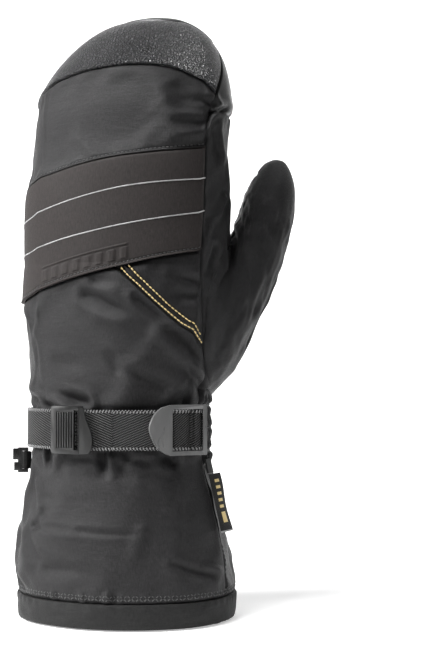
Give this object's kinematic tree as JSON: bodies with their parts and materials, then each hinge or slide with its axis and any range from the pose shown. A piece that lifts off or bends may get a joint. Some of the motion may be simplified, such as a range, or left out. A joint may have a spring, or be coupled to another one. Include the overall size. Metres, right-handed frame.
{
  "type": "ski mitten",
  "caption": "Insulated left-hand ski mitten with leather fingertips and palm, padded knuckle band, wrist strap with ladder-lock buckle and a long cuff.",
  "frame": {"origin": "centre of the bounding box in plan, on the floor under the hem", "axes": "+Z from the hem to the fingertips, +X to the thumb side, -Y out of the back of the hand"},
  "size_m": [0.1532, 0.0918, 0.32],
  "materials": {
    "shell": "woven shell cloth",
    "leather": "pebbled leather",
    "smooth": "smooth leather",
    "band": "brushed softshell",
    "suede": "suede",
    "silver": "silver piping",
    "foam": "soft foam",
    "membrane": "thin film",
    "fill": "padding",
    "lining": "fleece",
    "webbing": "woven webbing",
    "plastic": "moulded plastic",
    "grey": "satin moulded plastic",
    "tag": "woven label"
  },
  "bodies": {
    "mitten": {"clip_tab": "webbing", "cuff_back_panel": "shell", "cuff_lining": "lining", "cuff_palm_panel": "shell", "fingertip_cap": "leather", "fingertip_wrap": "smooth", "hand_lining": "lining", "hem_band": "shell", "insulation_back": "fill", "insulation_palm": "fill", "knuckle_band": "band", "knuckle_foam": "foam", "little_finger_gusset": "shell", "lower_back_panel": "shell", "palm_leather": "leather", "palm_wrist_panel": "shell", "piping_lower": "silver", "piping_upper": "silver", "tag_tab": "webbing", "thumb_side_gusset": "shell", "upper_back_panel": "shell", "waterproof_membrane": "membrane", "webbing_anchor_loop": "webbing", "webbing_free_end": "webbing", "wedge_panel": "shell", "wrist_elastic_lower": "webbing", "wrist_elastic_upper": "webbing", "wrist_webbing": "webbing"},
    "thumb": {"thumb_back_panel": "shell", "thumb_nose_wipe": "suede", "thumb_leather": "smooth", "thumb_tip_cap": "smooth", "thumb_insulation": "fill", "thumb_lining": "lining"},
    "ladder_lock": {"ladder_lock": "grey", "webbing_folds": "webbing"},
    "strap_keeper": {"strap_keeper": "plastic"},
    "pairing_clip": {"pairing_clip": "plastic"},
    "woven_tag": {"woven_tag": "tag"}
  },
  "joints": [
    {"name": "thumb_swing", "type": "hinge", "parent": "mitten", "child": "thumb", "pos_m": [0.01545, 0.00113, 0.134], "axis": [0, 0, 1], "range_deg": [-20, 20]},
    {"name": "ladder_lock_tilt", "type": "hinge", "parent": "mitten", "child": "ladder_lock", "pos_m": [0.03383, -0.01921, 0.1], "axis": [0, 0, 1], "range_deg": [0, 40]},
    {"name": "strap_keeper_slide", "type": "hinge", "parent": "mitten", "child": "strap_keeper", "pos_m": [-0.0154, 0.03378, 0.1], "axis": [0, 0, 1], "range_deg": [-4.3, 19]},
    {"name": "pairing_clip_swing", "type": "hinge", "parent": "mitten", "child": "pairing_clip", "pos_m": [-0.06639, -0.00491, 0.082], "axis": [0, 0, 1], "range_deg": [-65, 65]},
    {"name": "woven_tag_flap", "type": "hinge", "parent": "mitten", "child": "woven_tag", "pos_m": [0.03416, -0.00984, 0.076], "axis": [0.2355, -0.0799, -0.9686], "range_deg": [0, 60]}
  ]
}
